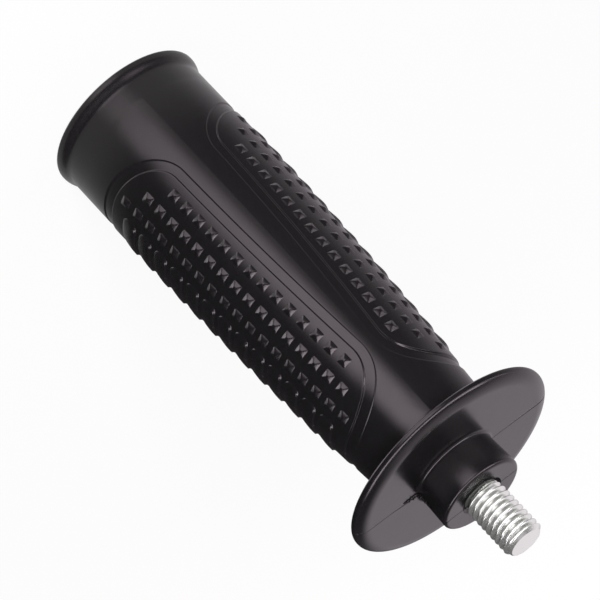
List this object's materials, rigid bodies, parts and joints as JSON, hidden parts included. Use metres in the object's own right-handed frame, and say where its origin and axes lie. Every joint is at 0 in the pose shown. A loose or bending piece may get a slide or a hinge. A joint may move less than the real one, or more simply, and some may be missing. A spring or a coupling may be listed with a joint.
{
  "type": "power tool side handle",
  "caption": "Screw-in auxiliary handle: hollow moulded grip with two textured panels, a round hand guard, a hub and a metric threaded stud.",
  "frame": {"origin": "centre of the grip's open end, in the plane that it stands on", "axes": "+Z along the handle's axis towards the stud; the mould parts in the plane Y = 0, so the panels face +X and -X"},
  "size_m": [0.055, 0.055, 0.1442],
  "materials": {
    "grip_plastic": "black moulded plastic, semi-gloss, with mirror-smooth guard and hub faces",
    "zinc_steel": "bright zinc plate over a rolled thread"
  },
  "bodies": {
    "root": {"grip_moulding": "grip_plastic", "threaded_stud": "zinc_steel"}
  },
  "joints": []
}
